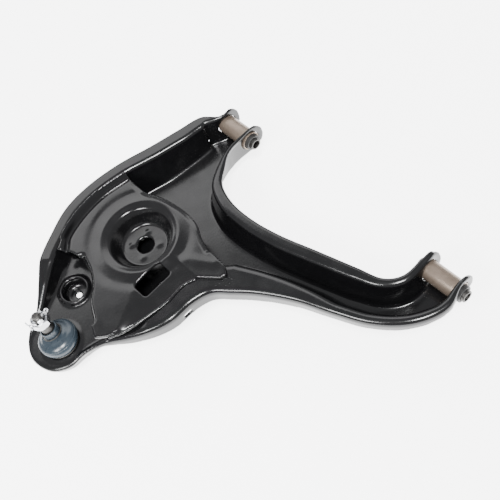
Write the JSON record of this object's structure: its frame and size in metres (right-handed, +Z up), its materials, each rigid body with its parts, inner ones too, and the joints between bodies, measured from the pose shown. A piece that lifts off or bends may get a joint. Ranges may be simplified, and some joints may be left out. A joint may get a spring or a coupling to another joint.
{
  "type": "control arm",
  "caption": "Pressed-steel suspension control arm with two rubber pivot bushings, a coil-spring seat and a ball joint with castle nut.",
  "frame": {"origin": "centre of the bounding box in plan, at its lowest point", "axes": "+X outboard from the pivot axis towards the ball joint, +Y along the pivot axis from the straight leg to the curved leg, +Z up along the stud side"},
  "size_m": [0.471, 0.5388, 0.1069],
  "materials": {
    "black_paint": "gloss black dip paint on pressed steel",
    "dark_steel": "dark oiled steel",
    "bare_steel": "bare drawn steel with a warm tan cast",
    "zinc": "bright zinc plate",
    "bushing_rubber": "moulded black rubber",
    "boot_rubber": "smooth blue-grey boot rubber",
    "race_polymer": "moulded bearing polymer"
  },
  "bodies": {
    "arm": {"main_shell": "black_paint", "spring_seat_plate": "black_paint", "ball_joint_housing": "dark_steel", "ball_joint_preload_washer": "dark_steel", "ball_joint_cover": "dark_steel", "grease_fitting": "zinc", "ball_joint_boot": "boot_rubber", "boot_clamp_ring": "dark_steel", "straight_leg_bushing_outer_sleeve": "bare_steel", "straight_leg_bushing_rubber": "bushing_rubber", "curved_leg_bushing_outer_sleeve": "bare_steel", "curved_leg_bushing_rubber": "bushing_rubber"},
    "race": {"ball_joint_race": "race_polymer"},
    "boot_ring": {"boot_top_ring": "dark_steel"},
    "stud": {"ball_stud": "dark_steel", "castle_nut": "zinc", "cotter_pin": "zinc"},
    "straight_leg_inner_sleeve": {"straight_leg_bushing_inner_sleeve": "dark_steel"},
    "curved_leg_inner_sleeve": {"curved_leg_bushing_inner_sleeve": "dark_steel"}
  },
  "joints": [
    {"name": "stud_tilt_along_arm", "type": "hinge", "parent": "arm", "child": "race", "pos_m": [0.1895, -0.11509, 0.029], "axis": [1, 0, 0], "range_deg": [-36, 8], "deforming": ["ball_joint_boot"]},
    {"name": "stud_tilt_across_arm", "type": "hinge", "parent": "race", "child": "boot_ring", "pos_m": [0.1895, -0.11509, 0.029], "axis": [0, 0.9703, 0.2419], "range_deg": [-16, 16]},
    {"name": "stud_spin", "type": "hinge", "parent": "boot_ring", "child": "stud", "pos_m": [0.1895, -0.11509, 0.029], "axis": [0, -0.2419, 0.9703], "continuous": true},
    {"name": "straight_leg_pivot", "type": "hinge", "parent": "arm", "child": "straight_leg_inner_sleeve", "pos_m": [-0.2105, -0.16409, 0.046], "axis": [0, 1, 0], "range_deg": [-28, 28], "stiffness_Nm_per_rad": 20},
    {"name": "curved_leg_pivot", "type": "hinge", "parent": "arm", "child": "curved_leg_inner_sleeve", "pos_m": [-0.2105, 0.22991, 0.046], "axis": [0, 1, 0], "range_deg": [-28, 28], "stiffness_Nm_per_rad": 20}
  ]
}
